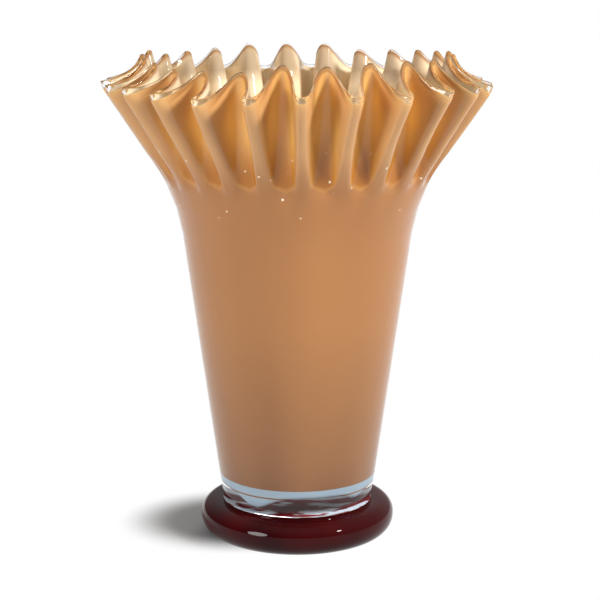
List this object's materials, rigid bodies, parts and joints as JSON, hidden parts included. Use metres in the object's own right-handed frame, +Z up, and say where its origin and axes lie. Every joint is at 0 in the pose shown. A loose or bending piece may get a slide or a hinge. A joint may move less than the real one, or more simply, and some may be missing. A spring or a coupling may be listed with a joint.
{
  "type": "footed fan vase",
  "caption": "Footed glass fan vase: a slim caramel cased body flares into a deeply folded rim with a clear lip, over a thick clear base and a dark red foot.",
  "frame": {"origin": "centre of the foot's underside, on the surface the vase stands on", "axes": "+Z is up along the vase's axis; -Y faces the viewer, with one outer fold of the rim on it; +X is to the viewer's right"},
  "size_m": [0.1976, 0.1973, 0.25],
  "materials": {
    "foot_glass": "glossy",
    "clear_glass": "glossy",
    "caramel_glass": "glossy"
  },
  "bodies": {
    "root": {"foot": "foot_glass", "clear_base": "clear_glass", "colour_cup": "caramel_glass", "clear_lip": "clear_glass"}
  },
  "joints": []
}
